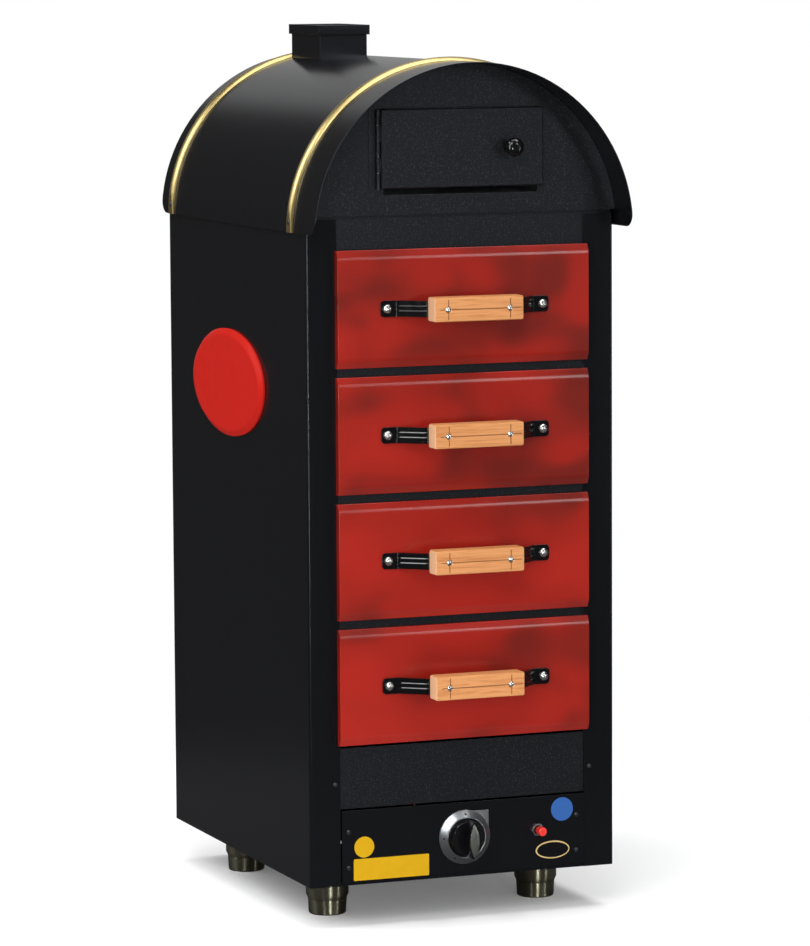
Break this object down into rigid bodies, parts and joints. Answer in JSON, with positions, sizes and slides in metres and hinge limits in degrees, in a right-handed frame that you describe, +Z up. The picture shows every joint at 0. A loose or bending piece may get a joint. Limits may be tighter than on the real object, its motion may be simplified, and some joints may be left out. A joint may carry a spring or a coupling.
{
  "type": "commercial gas oven",
  "caption": "Upright gas oven with stacked pull-out drawers, a barrel roof with brass hoops and a flue, and a small warming compartment in the arched front.",
  "frame": {"origin": "on the floor, under the middle of the whole object", "axes": "+Z up, -Y towards the drawer fronts, +X to the right as seen from the front"},
  "size_m": [0.471, 0.663, 1.223],
  "materials": {
    "black_powder_coat": "fine-textured satin black powder coat",
    "red_enamel": "gloss red enamel",
    "galvanised_steel": "plain galvanised sheet",
    "brass": "polished",
    "enamelled_strap": "gloss black",
    "beech": "oiled",
    "chrome": "polished",
    "bronzed_chrome": "polished, bronze tint",
    "phenolic": "gloss black phenolic",
    "red_plastic": "gloss red",
    "cast_aluminium": "as cast",
    "copper": "bare copper pipe"
  },
  "bodies": {
    "casing": {"access_panel": "black_powder_coat", "back_liner": "galvanised_steel", "back_panel": "black_powder_coat", "base_pan": "black_powder_coat", "burner": "cast_aluminium", "burner_feed_pipe": "copper", "control_panel": "black_powder_coat", "crossbar_1": "black_powder_coat", "crossbar_2": "black_powder_coat", "crossbar_3": "black_powder_coat", "crown_deck": "black_powder_coat", "flue_collar": "black_powder_coat", "flue_duct": "black_powder_coat", "front_gable": "black_powder_coat", "front_hoop": "brass", "front_left_foot_sleeve": "bronzed_chrome", "front_right_foot_sleeve": "bronzed_chrome", "gas_inlet_pipe": "galvanised_steel", "gas_valve": "cast_aluminium", "heat_deck": "galvanised_steel", "hinge_pin": "chrome", "igniter_body": "phenolic", "igniter_nut": "chrome", "knob_bezel": "chrome", "left_runner_rack": "galvanised_steel", "left_side_panel": "black_powder_coat", "rear_gable": "black_powder_coat", "rear_hoop": "brass", "rear_left_foot_sleeve": "bronzed_chrome", "rear_right_foot_sleeve": "bronzed_chrome", "right_runner_rack": "galvanised_steel", "right_side_panel": "black_powder_coat", "roof_shell": "black_powder_coat", "top_fascia": "black_powder_coat", "warming_liner": "galvanised_steel"},
    "drawer_1": {"drawer_1_front": "red_enamel", "drawer_1_tray": "galvanised_steel", "drawer_1_handle_strap": "enamelled_strap", "drawer_1_wood_grip": "beech"},
    "drawer_2": {"drawer_2_front": "red_enamel", "drawer_2_tray": "galvanised_steel", "drawer_2_handle_strap": "enamelled_strap", "drawer_2_wood_grip": "beech"},
    "drawer_3": {"drawer_3_front": "red_enamel", "drawer_3_tray": "galvanised_steel", "drawer_3_handle_strap": "enamelled_strap", "drawer_3_wood_grip": "beech"},
    "drawer_4": {"drawer_4_front": "red_enamel", "drawer_4_tray": "galvanised_steel", "drawer_4_handle_strap": "enamelled_strap", "drawer_4_wood_grip": "beech"},
    "warming_door": {"warming_door": "black_powder_coat", "warming_door_knob": "phenolic"},
    "thermostat_shaft": {"thermostat_shaft": "chrome"},
    "thermostat_knob": {"thermostat_knob": "phenolic"},
    "igniter_button": {"igniter_button": "red_plastic"},
    "front_left_foot": {"front_left_foot_pad": "bronzed_chrome"},
    "front_right_foot": {"front_right_foot_pad": "bronzed_chrome"},
    "rear_left_foot": {"rear_left_foot_pad": "bronzed_chrome"},
    "rear_right_foot": {"rear_right_foot_pad": "bronzed_chrome"}
  },
  "joints": [
    {"name": "drawer_1_slide", "type": "slide", "parent": "casing", "child": "drawer_1", "axis": [0, -1, 0], "range_m": [0, 0.4]},
    {"name": "drawer_2_slide", "type": "slide", "parent": "casing", "child": "drawer_2", "axis": [0, -1, 0], "range_m": [0, 0.4]},
    {"name": "drawer_3_slide", "type": "slide", "parent": "casing", "child": "drawer_3", "axis": [0, -1, 0], "range_m": [0, 0.4]},
    {"name": "drawer_4_slide", "type": "slide", "parent": "casing", "child": "drawer_4", "axis": [0, -1, 0], "range_m": [0, 0.4]},
    {"name": "warming_door_hinge", "type": "hinge", "parent": "casing", "child": "warming_door", "pos_m": [-0.1218, -0.2702, 1.01], "axis": [0, 0, -1], "range_deg": [0, 110]},
    {"name": "thermostat_turn", "type": "hinge", "parent": "casing", "child": "thermostat_shaft", "pos_m": [0, -0.268, 0.116], "axis": [0, -1, 0], "range_deg": [0, 270]},
    {"name": "thermostat_press", "type": "slide", "parent": "thermostat_shaft", "child": "thermostat_knob", "axis": [0, 1, 0], "range_m": [0, 0.004], "stiffness_N_per_m": 800},
    {"name": "igniter_press", "type": "slide", "parent": "casing", "child": "igniter_button", "axis": [0, 1, 0], "range_m": [0, 0.005], "stiffness_N_per_m": 1000},
    {"name": "front_left_foot_screw", "type": "slide", "parent": "casing", "child": "front_left_foot", "axis": [0, 0, -1], "range_m": [0, 0.02]},
    {"name": "front_right_foot_screw", "type": "slide", "parent": "casing", "child": "front_right_foot", "axis": [0, 0, -1], "range_m": [0, 0.02]},
    {"name": "rear_left_foot_screw", "type": "slide", "parent": "casing", "child": "rear_left_foot", "axis": [0, 0, -1], "range_m": [0, 0.02]},
    {"name": "rear_right_foot_screw", "type": "slide", "parent": "casing", "child": "rear_right_foot", "axis": [0, 0, -1], "range_m": [0, 0.02]}
  ]
}
